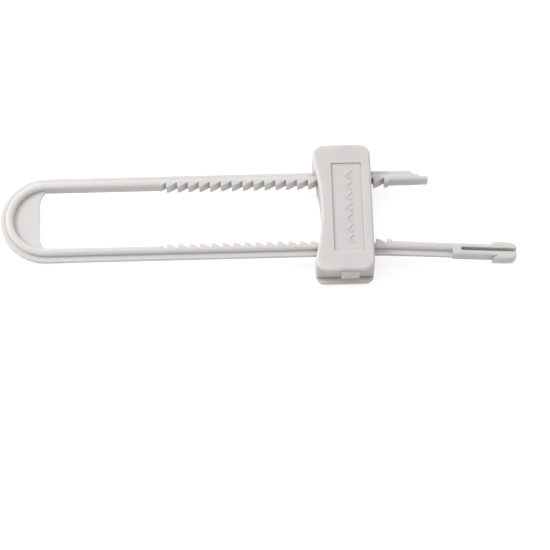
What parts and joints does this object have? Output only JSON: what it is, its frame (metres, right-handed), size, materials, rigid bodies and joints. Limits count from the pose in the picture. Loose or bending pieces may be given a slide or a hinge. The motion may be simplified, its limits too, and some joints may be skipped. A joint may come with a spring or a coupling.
{
  "type": "sliding cabinet lock",
  "caption": "Child-safety slide lock: a toothed U-shaped bar goes round two cabinet knobs, and a squeeze-release sliding body ratchets along it.",
  "frame": {"origin": "centre of the bend of the U-shaped bar, on the plane of the lock body's back face", "axes": "+X along the legs towards their free ends, +Y towards the short leg, +Z towards the front of the lock body"},
  "size_m": [0.1991, 0.055, 0.0145],
  "materials": {
    "bar_plastic": "satin",
    "body_plastic": "satin",
    "button_plastic": "satin",
    "spring_steel": "satin"
  },
  "bodies": {
    "bar": {"u_bar": "bar_plastic"},
    "lock_body": {"slider_base": "body_plastic", "slider_cover": "body_plastic", "upper_spring": "spring_steel", "lower_spring": "spring_steel"},
    "upper_release": {"upper_button": "button_plastic"},
    "lower_release": {"lower_button": "button_plastic"}
  },
  "joints": [
    {"name": "body_slide", "type": "slide", "parent": "bar", "child": "lock_body", "axis": [1, 0, 0], "range_m": [-0.10625, 0.04675]},
    {"name": "upper_press", "type": "slide", "parent": "lock_body", "child": "upper_release", "axis": [0, -1, 0], "range_m": [0, 0.0016], "stiffness_N_per_m": 450, "springref_m": -0.002, "deforming": ["upper_spring"]},
    {"name": "lower_press", "type": "slide", "parent": "lock_body", "child": "lower_release", "axis": [0, 1, 0], "range_m": [0, 0.0016], "stiffness_N_per_m": 450, "springref_m": -0.002, "deforming": ["lower_spring"]}
  ]
}
